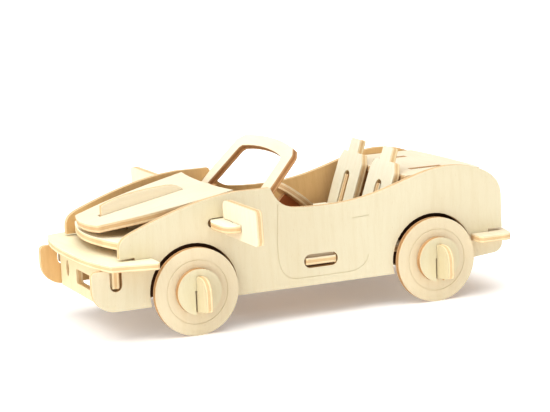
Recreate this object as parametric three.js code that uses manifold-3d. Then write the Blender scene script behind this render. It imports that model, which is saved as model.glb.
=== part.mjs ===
// Plywood roadster: flat plates cut from 3 mm sheet that slot into each other.
// Millimetres. +X is the car's front, +Y its left side, +Z up, ground at z = 0.
import * as THREE from 'three';
import Module from 'manifold-3d';

// ---------- driving dimensions ----------
const T = 3;                      // sheet thickness
const GAP = 0.3;                  // clearance kept between pieces
const SLOT = T / 2 + GAP;         // half width of a slot that takes one sheet

const PANEL_OUT = 37.2;           // outer face of the side panels
const PANEL_IN = PANEL_OUT - T;
const INSIDE = PANEL_IN - GAP;    // half width of every plate between the side panels

const AXLE_X = 57.6;              // axles sit at plus and minus this while the car is laid out
const FRONT_X = 103.3;            // foremost point of the side panels
const REAR_X = -97;               // rearmost point of the rear bumper
const LENGTH_MID = (FRONT_X + REAR_X) / 2;    // the finished car is centred on its length
const WHEEL_R = 19;
const BORE_R = 8.1;
const RING_R = 13.9;              // engraved tyre ring
const GROOVE = 0.4;               // width of engraved lines
const GROOVE_DEPTH = 0.2;
const ARCH_R = 20.2;
const ARCH_Z = 19.4;
const SILL_Z = 14.3;              // lower edge of the side panels

const WHEEL_Y = PANEL_OUT + 0.2;  // inner face of a wheel
const HUB_Y = WHEEL_Y + T + GAP;  // inner face of a hub disc
const HUB_R = 10;
const HUB_Z = 19.5;
const LAP_Z = 19.9;               // top of the axle where the hub disc hangs on it
const KEY_END = 54;
const KEY_TOP = 26.4;
const KEY_LOW = 10.6;
const KEY_RISE = 1.7;             // the key's lower edge climbs this much to its end

const RAIL_Y = 17.5;              // centre plane of the two chassis rails
const RAIL_LOW = 14.6;
const RAIL_LAP = 19;              // rails and axles meet half way at this height
const FLOOR_Z = 23.5;             // underside of the floor plate
const FLOOR_TOP = FLOOR_Z + T;
const TUCK = 0.2;                 // how far a tab may stop short of its hole

const BUMPER_Z = 32.4;            // underside of the front bumper plate
const BUMPER_HALF = 48.6;         // the front bumper flares to this at its rear corners
const TAIL_HALF = 46.5;
const BUMPER_REAR = 76.4;
const BUMPER_LAP = 84;            // slots in bumper and panels meet here
const RAIL_FRONT = 83;
const BUMPER_RAIL_LAP = 80;       // slots in bumper and rails meet here
const GRILLE_X = 91.3;
const NOSE_Z = 38.8;              // underside of the lower hood plate
const NOSE_REAR = 65.7;

const HOOD_SLOPE = Math.atan(0.2);
const HOOD_X = 84;                // reference point on the top of the hood
const HOOD_Z = 49.6;
const HOOD_T = 3.5;               // the two hood plates are cut from slightly thicker sheet
const RIDGE_FRONT = 85.2;         // front edge of the ridge that stands up through the hood

const TAIL_Z = 25;                // underside of the rear bumper plate
const TAIL_FRONT = -77.2;
const DECK_Z = 54.3;              // underside of the rear deck
const DECK_FRONT = -47;
const DECK_REAR = -86;

const SEAT_Y = 16.5;
const SEAT_LEAN = 19;
const SEAT_X = -45;               // point on the front face of the seat back
const SEAT_Z = 61.5;
const CUSHION_Z = 35;

const SCREEN_LEAN = 44;           // windscreen, degrees back from upright
const SCREEN_X = 19.9;
const SCREEN_Z = 58;

const DASH_X = 29;
const DASH_LAP = 40;

const STEER_Y = 14.4;
const STEER_X = -1.1;
const STEER_Z = 49.8;
const STEER_TILT = 41;            // rise of the wheel plane above level, degrees
const STEER_R = 9.6;

const MIRROR_X = 40.5;            // rear face of the mirror plates
const ARM_Z = 46;                 // underside of the mirror arms
const MIRROR_LAP = 49.5;          // slots in arm and mirror meet here
const MIRROR_TILT = 2;            // arms and plates lean forwards by this, degrees

// ---------- outlines ----------
const rad = THREE.MathUtils.degToRad;
const v2 = (x, y) => new THREE.Vector2(x, y);

// Closed polygon; a third number on a corner rounds it with that radius.
function rounded(corners) {
  const out = [];
  corners.forEach(([x, y, r], i) => {
    if (!r) {
      out.push(v2(x, y));
      return;
    }
    const at = v2(x, y);
    const before = corners[(i + corners.length - 1) % corners.length];
    const after = corners[(i + 1) % corners.length];
    const a = v2(before[0], before[1]).sub(at).normalize();
    const b = v2(after[0], after[1]).sub(at).normalize();
    const half = Math.acos(THREE.MathUtils.clamp(a.dot(b), -1, 1)) / 2;
    const start = at.clone().addScaledVector(a, r / Math.tan(half));
    const end = at.clone().addScaledVector(b, r / Math.tan(half));
    const centre = at.clone().addScaledVector(a.clone().add(b).normalize(), r / Math.sin(half));
    const from = start.sub(centre);
    const to = end.sub(centre);
    const sweep = Math.atan2(from.cross(to), from.dot(to));
    const steps = Math.max(2, Math.ceil(Math.abs(sweep) / rad(r < 2.5 ? 30 : 15)));
    for (let k = 0; k <= steps; k += 1) {
      out.push(from.clone().rotateAround(v2(0, 0), sweep * k / steps).add(centre));
    }
  });
  return out;
}

const rect = (x0, x1, y0, y1) => rounded([[x0, y0], [x1, y0], [x1, y1], [x0, y1]]);

const slotHole = (x0, x1, y0, y1) => {
  const r = (y1 - y0) / 2 - 0.01;
  return rounded([[x0, y0, r], [x1, y0, r], [x1, y1, r], [x0, y1, r]]);
};

function arc(cx, cy, r, from, to, steps) {
  const out = [];
  for (let k = 0; k <= steps; k += 1) {
    const a = rad(from + (to - from) * k / steps);
    out.push(v2(cx + r * Math.cos(a), cy + r * Math.sin(a)));
  }
  return out;
}

function curve(p0, c0, c1, p1, steps) {
  const path = new THREE.CubicBezierCurve(v2(...p0), v2(...c0), v2(...c1), v2(...p1));
  return path.getPoints(steps);
}

const mirrored = (points) => points.map((p) => v2(p.x, -p.y)).reverse();
const shifted = (points, dx, dy) => points.map((p) => v2(p.x + dx, p.y + dy));

// ---------- solids cut by solids ----------
const wasm = await Module();
wasm.setup();

function toManifold(geometry) {
  const position = geometry.getAttribute('position');
  const index = geometry.index;
  const count = index ? index.count : position.count;
  const seen = new Map();
  const points = [];
  const triangles = [];
  for (let i = 0; i < count; i += 1) {
    const at = index ? index.getX(i) : i;
    const p = [position.getX(at), position.getY(at), position.getZ(at)];
    const key = p.map((c) => Math.round(c * 1e5)).join(' ');
    if (!seen.has(key)) {
      seen.set(key, points.length / 3);
      points.push(...p);
    }
    triangles.push(seen.get(key));
  }
  return new wasm.Manifold(new wasm.Mesh({
    numProp: 3,
    vertProperties: new Float32Array(points),
    triVerts: new Uint32Array(triangles),
  }));
}

function carve(geometry, tools) {
  let solid = toManifold(geometry);
  tools.forEach((tool) => {
    solid = solid.subtract(toManifold(tool));
  });
  const mesh = solid.getMesh();
  const out = new THREE.BufferGeometry();
  out.setAttribute('position', new THREE.BufferAttribute(new Float32Array(mesh.vertProperties), 3));
  out.setIndex(new THREE.BufferAttribute(new Uint32Array(mesh.triVerts), 1));
  out.computeVertexNormals();
  return out;
}

// ---------- plates ----------
const AXIS = {
  x: new THREE.Vector3(1, 0, 0),
  y: new THREE.Vector3(0, 1, 0),
  z: new THREE.Vector3(0, 0, 1),
};

function prism(outline, origin, u, v, depth) {
  const shape = new THREE.Shape(outline);
  const geometry = new THREE.ExtrudeGeometry(shape, { depth, bevelEnabled: false });
  const w = new THREE.Vector3().crossVectors(u, v);
  const basis = new THREE.Matrix4().makeBasis(u, v, w).setPosition(origin);
  return geometry.applyMatrix4(basis);
}

// Prism with holes right through it.
function extrude(outline, holes, origin, u, v, depth) {
  const solid = prism(outline, origin, u, v, depth);
  if (holes.length === 0) {
    return solid;
  }
  const w = new THREE.Vector3().crossVectors(u, v);
  const start = origin.clone().addScaledVector(w, -1);
  return carve(solid, holes.map((h) => prism(h, start, u, v, depth + 2)));
}

// Upright plate facing sideways: outline in (x, z), faces at y and y + T.
const sideways = (outline, holes, y) =>
  extrude(outline, holes, new THREE.Vector3(0, y + T, 0), AXIS.x, AXIS.z, T);

// Upright plate facing forwards: outline in (y, z), faces at x and x + T.
const facing = (outline, holes, x) =>
  extrude(outline, holes, new THREE.Vector3(x, 0, 0), AXIS.y, AXIS.z, T);

// Level plate: outline in (x, y), faces at z and z + thickness.
const level = (outline, holes, z, thickness = T) =>
  extrude(outline, holes, new THREE.Vector3(0, 0, z), AXIS.x, AXIS.y, thickness);

// Leaning plate facing forwards: outline in (y, distance up the slope), front face
// through (x, z), leaning back by the given angle.
function leaning(outline, holes, x, z, lean, y = 0) {
  const up = new THREE.Vector3(-Math.sin(rad(lean)), 0, Math.cos(rad(lean)));
  const normal = new THREE.Vector3(Math.cos(rad(lean)), 0, Math.sin(rad(lean)));
  const origin = new THREE.Vector3(x, y, z).addScaledVector(normal, -T);
  return extrude(outline, holes, origin, AXIS.y, up, T);
}

// Point on a leaning plate's front face, s up the slope and d in front of it.
const onLean = (x, z, lean, s, d = 0) => [
  x - Math.sin(rad(lean)) * s + Math.cos(rad(lean)) * d,
  z + Math.cos(rad(lean)) * s + Math.sin(rad(lean)) * d,
];

// Thin closed strip that follows an open line, for engraving.
function strip(line) {
  const left = [];
  const right = [];
  line.forEach((p, i) => {
    const a = line[Math.max(i - 1, 0)];
    const b = line[Math.min(i + 1, line.length - 1)];
    const n = v2(a.y - b.y, b.x - a.x).normalize().multiplyScalar(GROOVE / 2);
    left.push(p.clone().add(n));
    right.push(p.clone().sub(n));
  });
  return [...right, ...left.reverse()];
}

// ---------- assembly ----------
const car = new THREE.Group();
car.name = 'plywood_roadster';
car.position.x = -LENGTH_MID;

function group(name) {
  const g = new THREE.Group();
  g.name = name;
  car.add(g);
  return g;
}

const body = group('body');
const chassis = group('chassis');
const cabin = group('cabin');
const running = group('running_gear');

function add(parent, name, geometry, colour) {
  const material = new THREE.MeshStandardMaterial({ color: colour, roughness: 0.78, metalness: 0 });
  const mesh = new THREE.Mesh(geometry, material);
  mesh.name = name;
  parent.add(mesh);
}

const PALE = '#ecd9b4';
const WARM = '#e3cb9f';
const HONEY = '#d9bd8c';
const SIDES = [['left', 1], ['right', -1]];

// Lower y face of a plate that sits between two distances from the centre plane.
const faceY = (side, inner) => (side > 0 ? inner : -inner - T);

// ---------- side panels ----------
const DOOR_SLOT = { x0: -10.5, x1: 5.8, z0: 22.1, z1: 28.1 };
const ARM_SLOT = { x0: 35.2, x1: 50, z0: ARM_Z - 0.5, z1: ARM_Z + T + 0.5 };
const TAIL_LAP = -86;

function archOver(x, rearAngle, frontAngle) {
  return arc(x, ARCH_Z, ARCH_R, rearAngle, frontAngle, 26);
}

const sillAngle = THREE.MathUtils.radToDeg(Math.asin((ARCH_Z - SILL_Z) / ARCH_R));
const panelOutline = [
  v2(BUMPER_LAP - GAP, 36.4),
  v2(90.5, 36.4),
  ...curve([90.5, 39.6], [90.4, 44], [88, 45.4], [84, 47.1], 6),
  ...curve([84, 47.1], [70, 52.6], [54, 58.4], [36, 59.5], 8).slice(1),
  ...curve([20.4, 59.4], [18.9, 55.8], [16.5, 51], [10, 49.8], 6),
  ...curve([10, 49.8], [0, 48.7], [-14, 48.6], [-24, 50.5], 5).slice(1),
  ...curve([-24, 50.5], [-40, 53.2], [-52, 59.6], [-66, 60.2], 8).slice(1),
  ...curve([-66, 60.2], [-78, 60.3], [-93.2, 56], [-93.2, 44.5], 9).slice(1),
  v2(-93.2, 29.2),
  v2(TAIL_LAP, 29.2),
  v2(TAIL_LAP, TAIL_Z - GAP),
  v2(-93.2, TAIL_Z - GAP),
  ...arc(-88.7, 22.5, 4.5, 180, 264, 5),
  ...archOver(-AXLE_X, 186.8, -sillAngle),
  ...archOver(AXLE_X, 180 + sillAngle, -sillAngle),
  ...arc(FRONT_X - 9.8, SILL_Z + 9.8, 9.8, 270, 360, 9),
  ...arc(FRONT_X - 2, BUMPER_Z - GAP - 2, 2, 0, 90, 3),
  v2(95.5, BUMPER_Z - GAP),
  ...arc(92.7, 25.6, 2.8, 0, -180, 8),
  v2(89.9, BUMPER_Z - GAP),
  v2(BUMPER_LAP - GAP, BUMPER_Z - GAP),
];

const doorLine = [
  v2(17.2, 52),
  ...curve([18.2, 36], [18.2, 24], [17.4, 18.2], [8, 18.2], 8),
  ...curve([-15, 18.2], [-21, 18.2], [-24.5, 20.5], [-25.5, 25], 5),
];
const handleLine = [v2(-18.2, 42), v2(-26.4, 42.4)];

SIDES.forEach(([side, sign]) => {
  const blank = sideways(panelOutline, [
    slotHole(DOOR_SLOT.x0, DOOR_SLOT.x1, DOOR_SLOT.z0, DOOR_SLOT.z1),
    slotHole(ARM_SLOT.x0, ARM_SLOT.x1, ARM_SLOT.z0, ARM_SLOT.z1)
      .map((p) => p.rotateAround(v2(MIRROR_X, ARM_Z), -rad(MIRROR_TILT))),
  ], faceY(sign, PANEL_IN));
  const faceAt = sign * PANEL_OUT;
  const tools = [doorLine, handleLine].map((line) => extrude(
    strip(line), [], new THREE.Vector3(0, faceAt + GROOVE_DEPTH, 0), AXIS.x, AXIS.z, 2 * GROOVE_DEPTH,
  ));
  add(body, `side_panel_${side}`, carve(blank, tools), WARM);
});

// ---------- front bumper, grille, lower hood ----------
const bumperHalf = [
  ...curve([102.1, 0], [102, 14], [101.6, 28], [97, 42.2], 8),
  v2(96.2, 43.3),
  v2(BUMPER_REAR + 1.2, BUMPER_HALF),
  v2(BUMPER_REAR, BUMPER_HALF - 1),
];
// Rear edge walked from the left side inwards, dipping into each slot.
const bumperSteps = [
  [PANEL_OUT + GAP, PANEL_IN - GAP, BUMPER_LAP + GAP],
  [RAIL_Y + SLOT, RAIL_Y - SLOT, BUMPER_RAIL_LAP + GAP],
].flatMap(([outer, inner, end]) => [
  v2(BUMPER_REAR, outer), v2(end, outer), v2(end, inner), v2(BUMPER_REAR, inner),
]);
add(body, 'front_bumper', level(
  [...bumperHalf, ...bumperSteps, ...mirrored([...bumperHalf, ...bumperSteps]).slice(0, -1)], [], BUMPER_Z,
), PALE);

const grilleLow = 13.8;
const grilleTop = BUMPER_Z - GAP;
const grilleHalf = [[INSIDE, grilleLow, 1], [INSIDE, 24.2], [PANEL_OUT, 24.2], [PANEL_OUT, 31.9],
  [INSIDE, 31.9], [INSIDE, grilleTop]];
const lampSlit = [...arc(26.4, 23, 4.6, 124, 236, 6), ...arc(21.4, 23, 4.6, -56, 56, 6)];
add(body, 'grille_plate', facing(
  rounded([...grilleHalf, ...grilleHalf.map(([y, z, r]) => [-y, z, r]).reverse()]),
  [rounded([[-11.6, 18.3, 1], [11.6, 18.3, 1], [11.6, 24.8, 1], [-11.6, 24.8, 1]]),
    lampSlit, shifted(lampSlit, -47.8, 0)],
  GRILLE_X,
), PALE);

const noseTab = { x0: 68, x1: 74 };
const ridgeTab = { x0: 68.5, x1: 73.5 };
const noseHole = rect(noseTab.x0 - GAP, noseTab.x1 + GAP, RAIL_Y - SLOT, RAIL_Y + SLOT);
const noseHalf = [
  ...curve([93, 0], [93, 9], [91, 19.4], [87.9, 29.4], 8),
  ...curve([87.9, 29.4], [87.2, 32], [86.2, INSIDE], [84, INSIDE], 4).slice(1),
  v2(NOSE_REAR, INSIDE),
];
add(body, 'lower_hood_plate', level(
  [...noseHalf, ...mirrored(noseHalf).slice(0, -1)],
  [noseHole, mirrored(noseHole), rect(ridgeTab.x0 - GAP, ridgeTab.x1 + GAP, -SLOT, SLOT)],
  NOSE_Z, HOOD_T,
), PALE);

// ---------- hood and ridge ----------
const hoodTop = (x) => HOOD_Z + Math.tan(HOOD_SLOPE) * (HOOD_X - x);
const hoodUnder = (x) => hoodTop(x) - HOOD_T / Math.cos(HOOD_SLOPE) - GAP;
const alongHood = (x) => (x - HOOD_X) / Math.cos(HOOD_SLOPE);
const hoodHalf = [
  ...curve([94.4, 0], [94.4, 5.4], [93.9, 9.2], [92.6, 13.4], 5),
  ...curve([92.2, 14.7], [91.4, 15.9], [90, 16.2], [88, 17], 4),
  ...curve([88, 17], [78, 22], [66, 28], [35, 30.8], 7).slice(1),
];
const onHood = (points) => points.map((p) => v2(alongHood(p.x), p.y));
const hoodOutline = [...hoodHalf, ...curve([35, 30.8], [36.6, 20], [36.9, 8], [36.9, 0], 5).slice(1)];
const hoodU = new THREE.Vector3(Math.cos(HOOD_SLOPE), 0, -Math.sin(HOOD_SLOPE));
const hoodNormal = new THREE.Vector3(Math.sin(HOOD_SLOPE), 0, Math.cos(HOOD_SLOPE));
const ridgeSlotEnd = RIDGE_FRONT + GAP + HOOD_T * Math.sin(HOOD_SLOPE);
add(body, 'hood_plate', extrude(
  onHood([...hoodOutline, ...mirrored(hoodOutline).slice(1, -1)]),
  [onHood(rect(46.9, ridgeSlotEnd, -SLOT, SLOT))],
  new THREE.Vector3(HOOD_X, 0, HOOD_Z).addScaledVector(hoodNormal, -HOOD_T),
  hoodU, AXIS.y, HOOD_T,
), PALE);

add(body, 'hood_ridge', sideways([
  v2(47.3, 51.6),
  v2(ridgeTab.x0, 46.4),
  v2(ridgeTab.x0, NOSE_Z + TUCK),
  v2(ridgeTab.x1, NOSE_Z + TUCK),
  v2(ridgeTab.x1, 45.2),
  v2(RIDGE_FRONT, 45.2),
  ...curve([RIDGE_FRONT, 53.6], [77, 57.6], [65, 58.8], [54, 59.4], 7),
  ...curve([54, 59.4], [51, 59.4], [48.2, 58.8], [47.3, 57.3], 3).slice(1),
], [], -T / 2), HONEY);

// ---------- windscreen and dashboard ----------
const screenHalf = [
  [33.8, -8.5], [34.2, 0.5], [31.2, 19.4, 3],
];
const screenTop = curve([26.8, 22.3], [16, 24.1], [7, 24.4], [0, 24.4], 4);
const screenSide = rounded([...screenHalf, [24, 22.7], [-24, 22.7], [-33.8, -8.5]]).slice(0, -3);
const screenLeft = [...screenSide, ...screenTop];
const openHalf = [
  v2(26.9, -6),
  v2(23.5, 15.2),
  ...curve([21.8, 17], [14, 18.6], [6, 19], [0, 19], 4),
];
const flip = (points) => points.map((p) => v2(-p.x, p.y)).reverse();
add(cabin, 'windscreen_frame', leaning(
  [...screenLeft, ...flip(screenLeft).slice(1)],
  [[...openHalf, ...flip(openHalf).slice(1)]],
  SCREEN_X, SCREEN_Z, SCREEN_LEAN,
), PALE);

const dashHalf = [
  [RAIL_Y - SLOT, DASH_LAP + GAP / 2], [RAIL_Y + SLOT, DASH_LAP + GAP / 2],
  [RAIL_Y + SLOT, FLOOR_TOP + GAP], [INSIDE, FLOOR_TOP + GAP, 2], [INSIDE, 52.5, 2],
];
add(cabin, 'dashboard_plate', facing(rounded([
  [RAIL_Y - SLOT, FLOOR_TOP + GAP], ...dashHalf,
  ...dashHalf.map(([y, z, r]) => [-y, z, r]).reverse(), [-RAIL_Y + SLOT, FLOOR_TOP + GAP],
]), [], DASH_X), HONEY);

// ---------- chassis rails, floor, axles ----------
const floorTab = { x0: -8, x1: 2 };
const deckTab = { x0: -73.2, x1: -57.3 };
const tailTab = { z0: 38, z1: 46 };
const RAIL_TALL = 19;             // rails stand above the floor in front of this
const RAIL_END = -84.3;
const screenNotch = [
  [-5.4, GAP], [-8.8, GAP], [-8.8, -T - GAP], [-5.4, -T - GAP],
].map(([s, d]) => onLean(SCREEN_X, SCREEN_Z, SCREEN_LEAN, s, d));
const axleNotch = (x) => [
  [x - SLOT, RAIL_LOW], [x - SLOT, RAIL_LAP + GAP / 2], [x + SLOT, RAIL_LAP + GAP / 2], [x + SLOT, RAIL_LOW],
];
const railOutline = rounded([
  [77, RAIL_LOW], [77, 28], [RAIL_FRONT, 28], [RAIL_FRONT, BUMPER_Z - GAP],
  [BUMPER_RAIL_LAP, BUMPER_Z - GAP], [BUMPER_RAIL_LAP, BUMPER_Z + T + GAP],
  [RAIL_FRONT, BUMPER_Z + T + GAP], [RAIL_FRONT, NOSE_Z - GAP],
  [noseTab.x1, NOSE_Z - GAP], [noseTab.x1, NOSE_Z + T - TUCK], [noseTab.x0, NOSE_Z + T - TUCK],
  [noseTab.x0, NOSE_Z - GAP], [NOSE_REAR - GAP, NOSE_Z - GAP], [NOSE_REAR - GAP, 44],
  [64, hoodUnder(64)], [37.5, hoodUnder(37.5)],
  [34, 54.3], [DASH_X + T + GAP, 54.3],
  [DASH_X + T + GAP, DASH_LAP - GAP / 2], [DASH_X - GAP, DASH_LAP - GAP / 2], [DASH_X - GAP, 54.3],
  ...screenNotch,
  [RAIL_TALL, screenNotch[3][1]], [RAIL_TALL, FLOOR_Z - GAP],
  [floorTab.x1, FLOOR_Z - GAP], [floorTab.x1, FLOOR_TOP - TUCK],
  [floorTab.x0, FLOOR_TOP - TUCK], [floorTab.x0, FLOOR_Z - GAP],
  [-48.3, FLOOR_Z - GAP], [-48.3, DECK_Z - GAP],
  [deckTab.x1, DECK_Z - GAP], [deckTab.x1, DECK_Z + T], [deckTab.x0, DECK_Z + T], [deckTab.x0, DECK_Z - GAP],
  [RAIL_END, DECK_Z - GAP], [RAIL_END, tailTab.z1], [RAIL_END - T - GAP, tailTab.z1],
  [RAIL_END - T - GAP, tailTab.z0], [RAIL_END, tailTab.z0],
  [RAIL_END, TAIL_Z + T + GAP], [-81.4, TAIL_Z + T + GAP], [-81.4, TAIL_Z - GAP],
  [RAIL_END, TAIL_Z - GAP], [RAIL_END, 20, 3], [-78, RAIL_LOW, 3],
  ...axleNotch(-AXLE_X), ...axleNotch(AXLE_X),
]).reverse();
SIDES.forEach(([side, sign]) => {
  add(chassis, `chassis_rail_${side}`, sideways(railOutline, [], faceY(sign, RAIL_Y - T / 2)), HONEY);
});

const columnTab = { x0: 8, x1: 15 };
const supportTabs = [{ x0: -42, x1: -36 }, { x0: -22, x1: -16 }];
const FLOOR_FRONT = 30;
const FLOOR_REAR = -47.5;
const doorTab = { x0: -9.6, x1: 4.9 };
const floorHalf = [
  v2(FLOOR_FRONT - 1.5, 0),
  v2(FLOOR_FRONT - 1.5, RAIL_Y - SLOT),
  v2(RAIL_TALL - GAP, RAIL_Y - SLOT),
  v2(RAIL_TALL - GAP, RAIL_Y + SLOT),
  v2(FLOOR_FRONT - 1.5, RAIL_Y + SLOT),
  v2(FLOOR_FRONT - 1.5, INSIDE),
  v2(doorTab.x1, INSIDE),
  v2(doorTab.x1, PANEL_OUT),
  v2(doorTab.x1 - 0.8, PANEL_OUT + 0.5),
  v2(doorTab.x0 + 0.8, PANEL_OUT + 0.5),
  v2(doorTab.x0, PANEL_OUT),
  v2(doorTab.x0, INSIDE),
  v2(FLOOR_REAR, INSIDE),
];
const floorHoles = [
  rect(floorTab.x0 - GAP, floorTab.x1 + GAP, RAIL_Y - SLOT, RAIL_Y + SLOT),
  ...supportTabs.map(({ x0, x1 }) => rect(x0 - GAP, x1 + GAP, SEAT_Y - SLOT, SEAT_Y + SLOT)),
];
add(chassis, 'floor_plate', level(
  [...floorHalf, ...mirrored(floorHalf).slice(0, -1)],
  [...floorHoles, ...floorHoles.map(mirrored),
    rect(columnTab.x0 - GAP, columnTab.x1 + GAP, STEER_Y - SLOT, STEER_Y + SLOT)],
  FLOOR_Z,
), WARM);

const AXLE_TOP = 28;
const AXLE_LOW = 10;
const JOURNAL = 7.6;              // half height of the axle inside the wheel bore
const SHOULDER = WHEEL_Y - GAP;
const axleHalf = [
  [RAIL_Y - SLOT, AXLE_TOP], [RAIL_Y - SLOT, RAIL_LAP - GAP / 2],
  [RAIL_Y + SLOT, RAIL_LAP - GAP / 2], [RAIL_Y + SLOT, AXLE_TOP],
  [SHOULDER, AXLE_TOP], [SHOULDER, WHEEL_R + JOURNAL],
  [HUB_Y - GAP, WHEEL_R + JOURNAL], [HUB_Y - GAP, LAP_Z],
  [HUB_Y + T + GAP, LAP_Z], [HUB_Y + T + GAP, KEY_TOP],
  [KEY_END, KEY_TOP, 6.5], [KEY_END, KEY_LOW + KEY_RISE, 2],
  [HUB_Y, KEY_LOW], [HUB_Y, WHEEL_R - JOURNAL],
  [SHOULDER, WHEEL_R - JOURNAL], [SHOULDER, AXLE_LOW],
];
const axleOutline = rounded([...axleHalf, ...axleHalf.map(([y, z, r]) => [-y, z, r]).reverse()]).reverse();

// ---------- wheels ----------
const WHEEL_SIDES = 48;
const RIM = WHEEL_R / Math.cos(Math.PI / WHEEL_SIDES);    // so that a flat, not a corner, is lowest
const wheelProfile = [
  [BORE_R, 0], [RIM, 0], [RIM, T], [RING_R + GROOVE / 2, T],
  [RING_R + GROOVE / 2, T - GROOVE_DEPTH], [RING_R - GROOVE / 2, T - GROOVE_DEPTH],
  [RING_R - GROOVE / 2, T], [BORE_R, T], [BORE_R, 0],
].map(([r, h]) => v2(r, h));
const hubDisc = [
  v2(-2.1, 9.7),
  v2(-2.1, LAP_Z + GAP),
  v2(2.1, LAP_Z + GAP),
  v2(2.1, 9.7),
  ...arc(0, HUB_Z, HUB_R, -76, 256, 36),
];

[['front', AXLE_X], ['rear', -AXLE_X]].forEach(([end, x]) => {
  add(running, `${end}_axle`, facing(axleOutline, [], x - T / 2), HONEY);
  SIDES.forEach(([side, sign]) => {
    const wheel = new THREE.LatheGeometry(wheelProfile, WHEEL_SIDES);
    wheel.rotateY(Math.PI / WHEEL_SIDES);
    if (sign < 0) {
      wheel.rotateX(Math.PI);
    }
    wheel.translate(x, sign * WHEEL_Y, WHEEL_R);
    add(running, `wheel_${end}_${side}`, wheel, WARM);
    const hub = sideways(shifted(hubDisc, x, 0), [], faceY(sign, HUB_Y));
    add(running, `hub_disc_${end}_${side}`, hub, PALE);
  });
});

// ---------- seats ----------
const backHalf = [
  [2.9, -8, 2.8], [2.9, -35.6], [11.8, -35.6, 1.5], [12.4, -16, 12], [12.2, -4, 3],
  [9.3, 0.9, 1.2], [4.9, 0.9], [4.5, 7.3, 0.9],
];
const backOutline = rounded([
  ...backHalf, ...backHalf.map(([y, s, r]) => [-y, s, r]).reverse(),
]);
const seatFront = (s, d = 0) => onLean(SEAT_X, SEAT_Z, SEAT_LEAN, s, d);
const cushionTab = { x0: -26, x1: -20 };
const CUSHION_REAR = -35.3;
const CUSHION_FRONT = -12;
const supportTop = CUSHION_Z - GAP;
const meetsBack = SEAT_X + (SEAT_Z - supportTop) * Math.tan(rad(SEAT_LEAN));
const supportOutline = rounded([
  seatFront(-9.8), [meetsBack, supportTop],
  [cushionTab.x0, supportTop], [cushionTab.x0, CUSHION_Z + T - TUCK],
  [cushionTab.x1, CUSHION_Z + T - TUCK], [cushionTab.x1, supportTop],
  [CUSHION_FRONT, supportTop, 3], [CUSHION_FRONT, FLOOR_TOP + GAP],
  ...supportTabs.slice().reverse().flatMap(({ x0, x1 }) => [
    [x1, FLOOR_TOP + GAP], [x1, FLOOR_Z + TUCK], [x0, FLOOR_Z + TUCK], [x0, FLOOR_TOP + GAP],
  ]),
  [-47.5, FLOOR_TOP + GAP], [-47.5, 46, 4], seatFront(-9.8, -4.6),
]);
SIDES.forEach(([side, sign]) => {
  const y = sign * SEAT_Y;
  add(cabin, `seat_back_${side}`, leaning(backOutline, [], SEAT_X, SEAT_Z, SEAT_LEAN, y), PALE);
  add(cabin, `seat_support_${side}`, sideways(supportOutline, [], faceY(sign, SEAT_Y - T / 2)), HONEY);
  const cushion = rounded([
    [CUSHION_REAR, y - 11], [CUSHION_FRONT, y - 11, 3], [CUSHION_FRONT, y + 11, 3], [CUSHION_REAR, y + 11],
  ]);
  const hole = rect(cushionTab.x0 - GAP, cushionTab.x1 + GAP, y - SLOT, y + SLOT);
  add(cabin, `seat_cushion_${side}`, level(cushion, [hole], CUSHION_Z), WARM);
});

// ---------- steering ----------
const steerUp = new THREE.Vector3(Math.cos(rad(STEER_TILT)), 0, Math.sin(rad(STEER_TILT)));
// Point near the steering wheel: a along its plane towards the front, b towards the driver.
const nearSteer = (a, b) => [
  STEER_X + Math.cos(rad(STEER_TILT)) * a - Math.sin(rad(STEER_TILT)) * b,
  STEER_Z + Math.sin(rad(STEER_TILT)) * a + Math.cos(rad(STEER_TILT)) * b,
];
const steerFace = nearSteer(0, T / 2);
add(cabin, 'steering_wheel', extrude(
  arc(0, 0, STEER_R, 0, 350, 35), [rect(-SLOT, SLOT, -3 - GAP, 3 + GAP)],
  new THREE.Vector3(steerFace[0], STEER_Y, steerFace[1]), AXIS.y, steerUp, T,
), WARM);
const below = -T / 2 - GAP;
add(cabin, 'steering_column', sideways(rounded([
  nearSteer(-5.5, below), nearSteer(-3, below), nearSteer(-3, T / 2 + TUCK), nearSteer(3, T / 2 + TUCK),
  nearSteer(3, below), nearSteer(5.5, below), [16.5, 40, 4], [17.5, FLOOR_TOP + GAP],
  [columnTab.x1, FLOOR_TOP + GAP], [columnTab.x1, FLOOR_Z + TUCK], [columnTab.x0, FLOOR_Z + TUCK],
  [columnTab.x0, FLOOR_TOP + GAP], [6, FLOOR_TOP + GAP], [5, 36, 4],
]), [], STEER_Y - T / 2), HONEY);

// ---------- rear deck, rear panel, rear bumper ----------
const deckHalf = [
  v2(DECK_FRONT, 0),
  v2(DECK_FRONT, INSIDE),
  v2(-82.5, INSIDE),
  ...curve([-84.6, 33], [-85.6, 26], [DECK_REAR, 10], [DECK_REAR, 0], 5),
];
const deckHole = rect(deckTab.x0 - GAP, deckTab.x1 + GAP, RAIL_Y - SLOT, RAIL_Y + SLOT);
add(body, 'rear_deck', level(
  [...deckHalf, ...mirrored(deckHalf).slice(1, -1)], [deckHole, mirrored(deckHole)], DECK_Z,
), PALE);

const rearHole = rect(RAIL_Y - SLOT, RAIL_Y + SLOT, tailTab.z0 - GAP, tailTab.z1 + GAP);
add(body, 'rear_panel', facing(
  rounded([[-INSIDE, TAIL_Z + T + GAP], [INSIDE, TAIL_Z + T + GAP], [INSIDE, 51, 3], [30, DECK_Z - GAP],
    [-30, DECK_Z - GAP], [-INSIDE, 51, 3]]),
  [rearHole, flip(rearHole)], RAIL_END - GAP - T,
), PALE);

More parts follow.
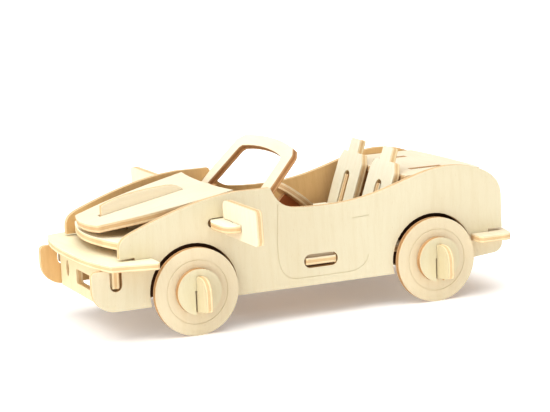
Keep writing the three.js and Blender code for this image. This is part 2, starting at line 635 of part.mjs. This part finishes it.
const tailHalf = [
  v2(REAR_X, 0),
  ...curve([REAR_X, 18], [-96.6, 30], [-95.4, 36], [-93.6, 43], 5),
  ...curve([-93, 45.2], [-92, 46.4], [-90.5, TAIL_HALF], [-88, TAIL_HALF], 3),
  v2(TAIL_FRONT - 1.6, TAIL_HALF),
  v2(TAIL_FRONT, TAIL_HALF - 1.6),
];
const tailSteps = [
  [TAIL_FRONT, PANEL_OUT + GAP], [TAIL_LAP - GAP, PANEL_OUT + GAP],
  [TAIL_LAP - GAP, PANEL_IN - GAP], [TAIL_FRONT, PANEL_IN - GAP],
  [TAIL_FRONT, RAIL_Y + SLOT], [-81.4 - GAP, RAIL_Y + SLOT],
  [-81.4 - GAP, RAIL_Y - SLOT], [TAIL_FRONT, RAIL_Y - SLOT],
].map(([x, y]) => v2(x, y));
add(body, 'rear_bumper', level(
  [...tailHalf, ...tailSteps, ...mirrored([...tailHalf, ...tailSteps]).slice(0, -1)], [], TAIL_Z,
), PALE);

// ---------- mirrors ----------
const armFork = [MIRROR_X - GAP, MIRROR_X + T + GAP];
const armOutline = [
  v2(36.6, 32),
  v2(48.4, 32),
  v2(48.4, 37.6),
  ...curve([48.4, 37.6], [49.6, 38.8], [50.3, 41], [50.3, 45], 4).slice(1),
  ...curve([50.3, 45], [50.3, 55.4], [50, 58.8], [armFork[1], 59.2], 7).slice(1),
  v2(armFork[1], MIRROR_LAP),
  v2(armFork[0], MIRROR_LAP),
  v2(armFork[0], 58.8),
  ...curve([38.4, 58.2], [37, 56.8], [36.6, 54.6], [36.6, 50.4], 4),
];
const mirrorOutline = rounded([
  [39.6, 42.2, 2.5], [75.6, 42.2, 2.5], [75.6, 57.3, 2], [39.6, 57.3, 3.2],
  [39.6, ARM_Z + T + GAP], [MIRROR_LAP + GAP, ARM_Z + T + GAP],
  [MIRROR_LAP + GAP, ARM_Z - GAP], [39.6, ARM_Z - GAP],
]);
const tipped = (geometry) => geometry
  .translate(-MIRROR_X, 0, -ARM_Z)
  .rotateY(rad(MIRROR_TILT))
  .translate(MIRROR_X, 0, ARM_Z);
SIDES.forEach(([side, sign]) => {
  const arm = sign > 0 ? armOutline : mirrored(armOutline);
  add(body, `mirror_arm_${side}`, tipped(level(arm, [], ARM_Z)), HONEY);
  const plate = sign > 0 ? mirrorOutline : flip(mirrorOutline);
  add(body, `mirror_plate_${side}`, tipped(facing(plate, [], MIRROR_X)), WARM);
});

export default car;
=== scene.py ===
"""Plywood roadster: bare plywood on every plate, a pale floor and soft studio light."""
import math

import bpy
from mathutils import Matrix, Vector

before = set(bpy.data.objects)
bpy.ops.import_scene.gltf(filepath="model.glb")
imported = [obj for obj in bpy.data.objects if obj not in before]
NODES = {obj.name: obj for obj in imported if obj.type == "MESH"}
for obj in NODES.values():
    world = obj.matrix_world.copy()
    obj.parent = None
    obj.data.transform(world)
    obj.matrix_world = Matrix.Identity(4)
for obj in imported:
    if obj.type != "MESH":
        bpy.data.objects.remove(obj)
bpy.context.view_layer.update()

MM = 1000.0                         # millimetres in a metre
PLIES = 3


# ---------------------------------------------------------------- plates
# For each kind of plate: its normal, and the direction that its grain runs.
def lean(degrees):
    """Normal of a plate that faces forwards and leans back."""
    return (math.cos(math.radians(degrees)), 0.0, math.sin(math.radians(degrees)))


def tilted(nose_up):
    """Normal of a level plate whose front end is raised by this angle."""
    angle = math.radians(nose_up)
    return (-math.sin(angle), 0.0, math.cos(angle))


HOOD = -math.degrees(math.atan(0.2))
SIDE, FRONT, FLAT = (0, 1, 0), (1, 0, 0), (0, 0, 1)
# Plate: normal of its better face, grain, and how brown its cut edge is. A side plate's
# normal is turned outwards on the right-hand side.
PLATES = {
    "side_panel": (SIDE, (0, 0, 1), 0.30),
    "chassis_rail": (SIDE, (1, 0, 0), 0.80),
    "hood_ridge": (SIDE, (1, 0, 0), 0.15),
    "hub_disc": (SIDE, (0, 0, 1), 0.75),
    "wheel_": (SIDE, (0, 0, 1), 0.75),
    "seat_support": (SIDE, (0, 0, 1), 0.30),
    "steering_column": (SIDE, (0, 0, 1), 0.80),
    "grille_plate": (FRONT, (0, 0, 1), 0.10),
    "dashboard_plate": (FRONT, (0, 1, 0), 0.60),
    "rear_panel": (lean(180), (0, 0, 1), 0.40),
    "mirror_plate": (lean(-2), (0, 0, 1), 0.15),
    "front_axle": (FRONT, (0, 0, 1), 0.10),
    "rear_axle": (FRONT, (0, 0, 1), 0.10),
    "front_bumper": (FLAT, (0, 1, 0), 0.10),
    "rear_bumper": (FLAT, (0, 1, 0), 0.10),
    "lower_hood_plate": (FLAT, (1, 0, 0), 0.10),
    "floor_plate": (FLAT, (1, 0, 0), 0.10),
    "rear_deck": (FLAT, (0, 1, 0), 0.30),
    "seat_cushion": (FLAT, (0, 1, 0), 0.25),
    "mirror_arm": (tilted(-2), (0, 1, 0), 0.25),
    "hood_plate": (tilted(HOOD), (1, 0, 0), 0.32),
    "windscreen_frame": (lean(44), (0, 1, 0), 0.95),
    # Painted light: the seat back's cut edge is kept nearly unbrowned to lift the shade that falls
    # on it.
    "seat_back": (lean(19), (0, 0, 1), 0.08),
    "steering_wheel": (tilted(41), (0, 1, 0), 0.25),
}


def plate_of(name):
    normal, grain, brown = next(value for key, value in PLATES.items() if name.startswith(key))
    if normal == SIDE and name.endswith("_right"):
        normal = (0, -1, 0)
    n = Vector(normal).normalized()
    g = Vector(grain)
    return n, (g - n * g.dot(n)).normalized(), brown


# ---------------------------------------------------------------- material
class Tree:
    """Short ways to add and link shader nodes."""

    def __init__(self, material):
        self.nodes = material.node_tree.nodes
        self.links = material.node_tree.links

    def add(self, kind, inputs=None, **settings):
        node = self.nodes.new(kind)
        for key, value in settings.items():
            setattr(node, key, value)
        for key, value in (inputs or {}).items():
            if isinstance(value, bpy.types.NodeSocket):
                self.links.new(value, node.inputs[key])
            else:
                node.inputs[key].default_value = value
        return node

    def math(self, operation, a, b=0.0):
        return self.add("ShaderNodeMath", {0: a, 1: b}, operation=operation).outputs[0]

    def dot(self, a, b):
        node = self.add("ShaderNodeVectorMath", {0: a, 1: b}, operation="DOT_PRODUCT")
        return node.outputs["Value"]

    def noise(self, vector, scale, detail=3.0, rough=0.55):
        node = self.add("ShaderNodeTexNoise", {
            "Vector": vector, "Scale": scale, "Detail": detail, "Roughness": rough,
        })
        return node.outputs["Fac"]

    def times(self, a, b):
        return self.math("MULTIPLY", a, b)

    def wander(self, value, reach):
        """A noise, moved to swing evenly about zero by this much."""
        return self.times(self.math("SUBTRACT", value, 0.5), reach)

    def span(self, value, low, high, to_low=0.0, to_high=1.0):
        node = self.add("ShaderNodeMapRange", {
            "Value": value, "From Min": low, "From Max": high, "To Min": to_low, "To Max": to_high,
        })
        return node.outputs["Result"]

    def mix(self, factor, a, b):
        node = self.add("ShaderNodeMix", {0: factor, 6: a, 7: b}, data_type="RGBA")
        return node.outputs[2]


def srgb(r, g, b):
    """Linear colour from display values of 0 to 255."""
    def one(v):
        v /= 255
        return v / 12.92 if v <= 0.04045 else ((v + 0.055) / 1.055) ** 2.4
    return (one(r), one(g), one(b), 1.0)


def plywood(name, n, g, brown, seed, tint):
    """Bare plywood for one plate: a pale veneer on its better face, a darker golden colour on its
    back face that is partly the back veneer and partly painted shade for inner faces that sit in
    shade, and stacked plies round its cut edge."""
    material = bpy.data.materials.new("ply_" + name)
    material.use_nodes = True
    t = Tree(material)
    t.nodes.clear()

    across = n.cross(g)
    heights = [v.co.dot(n) for v in NODES[name].data.vertices]
    top = max(heights)
    ply = (top - min(heights)) * MM / PLIES

    here = t.add("ShaderNodeTexCoord")
    place, facing = here.outputs["Object"], here.outputs["Normal"]
    along_mm = t.times(t.dot(place, tuple(g)), MM)
    across_mm = t.times(t.dot(place, tuple(across)), MM)
    depth_mm = t.times(t.math("SUBTRACT", top, t.dot(place, tuple(n))), MM)
    turned = t.dot(facing, tuple(n))
    # An engraved line is too shallow to show the plies, so its walls count as face.
    sideways = t.span(t.math("ABSOLUTE", turned), 0.85, 0.6)
    wall = t.times(sideways, t.span(depth_mm, 0.22, 0.34))
    # Mask of the faces turned away from the better face. These get the darker golden colour, which
    # is partly painted shade.
    back = t.span(turned, -0.2, -0.5)

    def plane(u, v, w=0.0):
        return t.add("ShaderNodeCombineXYZ", {
            0: t.math("ADD", u, seed * 17.3), 1: t.math("ADD", v, seed * 5.1), 2: w,
        }).outputs[0]

    # Veneer: long soft streaks, fine fibres, short pores and a slow drift of colour.
    drift = t.noise(plane(along_mm, across_mm), 0.022, 2.0)
    bend = t.wander(t.noise(plane(along_mm, across_mm, 3.0), 0.02, 1.0), 9.0)
    wavy = t.math("ADD", across_mm, bend)

    def grained(along_scale, across_scale, w, detail, rough):
        """Noise drawn out along the grain."""
        place_on = plane(t.times(along_mm, along_scale), t.times(wavy, across_scale), w)
        return t.noise(place_on, 1.0, detail, rough)

    streaks = grained(0.04, 0.45, 0.0, 4.0, 0.6)
    fibres = grained(0.25, 4.0, 0.0, 3.0, 0.6)
    pores = t.span(grained(0.45, 3.2, 7.0, 1.0, 0.55), 0.68, 0.76)

    # Better-face colour scaled by the plate's tint. For some plates the tint is painted shade or
    # painted light, as marked where the tints are listed.
    def tone_with_painted_light(r, g_, b):
        return srgb(r * tint[0], g_ * tint[1], b * tint[2])

    def veneer(pale, cream, tan, pore):
        sheet = t.mix(t.span(drift, 0.35, 0.65), pale, cream)
        sheet = t.mix(t.span(streaks, 0.45, 0.78, 0.0, 0.26), sheet, tan)
        sheet = t.mix(t.span(fibres, 0.35, 0.75, 0.0, 0.17), sheet, tan)
        return t.mix(t.times(pores, 0.25), sheet, pore)

    better = veneer(
        tone_with_painted_light(236, 227, 206), tone_with_painted_light(233, 222, 199), tone_with_painted_light(220, 203, 168), srgb(196, 164, 118),
    )
    # Back face: a golden veneer colour, deepened as painted shade for the inner faces that sit in
    # shade.
    back_veneer_and_shade = veneer(
        srgb(228, 196, 148), srgb(220, 187, 137), srgb(200, 160, 104), srgb(160, 118, 68),
    )
    face = t.mix(back, better, back_veneer_and_shade)

    # Cut edge: three plies with thin glue lines, scorched a little next to both faces.
    ragged = t.wander(t.noise(plane(along_mm, across_mm, 11.0), 0.5, 2.0), 0.25)
    depth = t.math("ADD", depth_mm, ragged)
    centre = t.math("ABSOLUTE", t.math("SUBTRACT", depth, 1.5 * ply))
    core = t.span(centre, 0.5 * ply - 0.1, 0.5 * ply + 0.1, 1.0, 0.0)
    glue = t.span(t.math("ABSOLUTE", t.math("SUBTRACT", centre, 0.5 * ply)), 0.04, 0.2, 1.0, 0.0)
    scorch = t.span(centre, 1.5 * ply - 0.4, 1.5 * ply - 0.1)
    place_mm = t.add("ShaderNodeVectorMath", {0: place, 1: (MM, MM, MM)}, operation="MULTIPLY")
    end_grain = t.noise(place_mm.outputs[0], 2.2, 3.0, 0.65)
    pale_core = t.mix(end_grain, srgb(234, 210, 168), srgb(222, 192, 146))
    light = t.mix(core, srgb(240, 224, 188), pale_core)
    brown_ply = t.mix(end_grain, srgb(204, 164, 118), srgb(184, 140, 94))
    dark = t.mix(core, brown_ply, srgb(168, 122, 80))
    toast = t.noise(plane(along_mm, across_mm, 19.0), 0.11, 2.0)
    cut = t.mix(t.span(toast, 0.3, 0.7, brown - 0.1, brown + 0.12), light, dark)
    cut = t.mix(t.times(glue, 0.16 + 0.3 * brown), cut, srgb(168, 118, 76))
    cut = t.mix(t.times(scorch, 0.28 + 0.3 * brown), cut, srgb(172, 118, 70))
    colour = t.mix(wall, face, cut)

    rough = t.math("ADD", t.span(fibres, 0.3, 0.7, 0.58, 0.72), t.times(wall, 0.16))
    relief_face = t.math("ADD", t.times(fibres, 0.6), t.times(pores, -0.8))
    relief_edge = t.math("ADD", t.times(end_grain, 1.6), t.times(glue, -1.2))
    relief = t.add("ShaderNodeMix", {
        0: wall, 2: relief_face, 3: relief_edge,
    }, data_type="FLOAT").outputs[0]
    bump = t.add("ShaderNodeBump", {"Height": relief, "Strength": 0.3, "Distance": 0.0001})

    shader = t.add("ShaderNodeBsdfPrincipled", {
        "Base Color": colour, "Roughness": rough, "Normal": bump.outputs["Normal"],
    })
    shader.inputs["Specular IOR Level"].default_value = 0.25
    out = t.add("ShaderNodeOutputMaterial")
    t.links.new(shader.outputs["BSDF"], out.inputs["Surface"])
    return material


def soften(obj):
    """A hair-fine sanded arris on a plate."""
    bevel = obj.modifiers.new("sanded", "BEVEL")
    bevel.width = 0.00016
    bevel.segments = 2
    bevel.limit_method = "ANGLE"
    bevel.angle_limit = math.radians(40)
    bevel.use_clamp_overlap = True


# Tint per plate: mostly the sheet's own tone, but some entries are painted shade or painted light,
# as marked below.
TINTS_AND_PAINTED_LIGHT = {
    "wheel_": (0.97, 0.96, 0.93),
    "hub_disc": (0.95, 0.955, 0.92),
    # Painted shade: the axles are darkened for the shade on their front-facing key ends.
    "front_axle": (0.90, 0.89, 0.83),
    "rear_axle": (0.90, 0.89, 0.83),
    # Painted shade: the rails are a dark brown sheet that stands for the shade seen through the
    # gaps, the wheel arches and the grille.
    "chassis_rail": (0.35, 0.24, 0.16),
    "side_panel": (0.96, 0.963, 0.94),
    "grille_plate": (0.98, 0.96, 0.90),
    # Painted light: the front bumper and the lower hood plate are lightened to cancel the shade
    # that the hood casts on them.
    "front_bumper": (1.04, 1.06, 1.04),
    "lower_hood_plate": (1.05, 1.08, 1.10),
    "mirror_arm": (1.03, 1.06, 1.08),
    "seat_": (1.00, 1.03, 1.05),
    # Painted shade: the dashboard and the steering column are browned for the shade in the cockpit
    # under the windscreen.
    "dashboard": (0.92, 0.82, 0.66),
    "steering_column": (0.84, 0.58, 0.42),
}
for index, name in enumerate(sorted(NODES)):
    tint = next((v for k, v in TINTS_AND_PAINTED_LIGHT.items() if name.startswith(k)), (1.0, 1.0, 1.0))
    obj = NODES[name]
    material = plywood(name, *plate_of(name), index + 1, tint)
    for slot in obj.material_slots:
        slot.material = material
    soften(obj)


# ---------------------------------------------------------------- stage
def flat_material(name, colour, roughness, glow):
    material = bpy.data.materials.new(name)
    material.use_nodes = True
    shader = material.node_tree.nodes["Principled BSDF"]
    shader.inputs["Base Color"].default_value = colour
    shader.inputs["Roughness"].default_value = roughness
    shader.inputs["Emission Color"].default_value = colour
    shader.inputs["Emission Strength"].default_value = glow
    return material


HALF = 8.0                          # half the width of the floor, metres
corners = [(-HALF, -HALF, 0), (HALF, -HALF, 0), (HALF, HALF, 0), (-HALF, HALF, 0)]
mesh = bpy.data.meshes.new("floor")
mesh.from_pydata(corners, [], [(0, 1, 2, 3)])
floor = bpy.data.objects.new("floor", mesh)
bpy.context.scene.collection.objects.link(floor)
floor.data.materials.append(flat_material("floor_white", (0.93, 0.93, 0.93, 1.0), 0.9, 0.25))

world = bpy.data.worlds.new("studio")
world.use_nodes = True
sky = Tree(world)
height = sky.add("ShaderNodeSeparateXYZ", {0: sky.add("ShaderNodeTexCoord").outputs["Generated"]})
glow = sky.span(height.outputs["Z"], 0.10, 0.20, 1.2, 0.46)
sky.nodes["Background"].inputs["Color"].default_value = (1.0, 0.995, 0.985, 1.0)
sky.links.new(glow, sky.nodes["Background"].inputs["Strength"])
bpy.context.scene.world = world


def soft_sun(name, towards, strength, spread, colour=(1.0, 1.0, 1.0)):
    """Even light from a wide panel a long way off, so that the floor is lit alike everywhere."""
    light = bpy.data.lights.new(name, "SUN")
    light.energy = strength
    light.angle = math.radians(spread)
    light.color = colour
    obj = bpy.data.objects.new(name, light)
    bpy.context.scene.collection.objects.link(obj)
    obj.rotation_euler = Vector(towards).to_track_quat("Z", "Y").to_euler()


soft_sun("key", (0.85, 0.28, 0.42), 1.35, 50)
soft_sun("overhead", (0.10, 0.10, 1.0), 2.3, 70)

# ---------------------------------------------------------------- camera
VIEW_FROM = math.radians(23.27)      # swing of the camera from the left side towards the front
VIEW_UP = math.radians(9.87)
ROLL = math.radians(-2.64)
DISTANCE = 0.935
TARGET = Vector((-0.0007, 0.0, 0.04428))

back = Vector((
    math.sin(VIEW_FROM) * math.cos(VIEW_UP),
    math.cos(VIEW_FROM) * math.cos(VIEW_UP),
    math.sin(VIEW_UP),
))
level_right = Vector((-math.cos(VIEW_FROM), math.sin(VIEW_FROM), 0.0))
level_up = level_right.cross(-back)
right = level_right * math.cos(ROLL) + level_up * math.sin(ROLL)
up = level_up * math.cos(ROLL) - level_right * math.sin(ROLL)
camera_data = bpy.data.cameras.new("camera")
camera_data.sensor_width = 36.0
camera_data.lens = 135.46
camera = bpy.data.objects.new("camera", camera_data)
bpy.context.scene.collection.objects.link(camera)
turn = Matrix((right, up, back)).transposed().to_4x4()
camera.matrix_world = Matrix.Translation(TARGET + back * DISTANCE) @ turn
bpy.context.scene.camera = camera

bpy.context.scene.view_settings.view_transform = "Standard"
bpy.context.scene.view_settings.gamma = 0.82
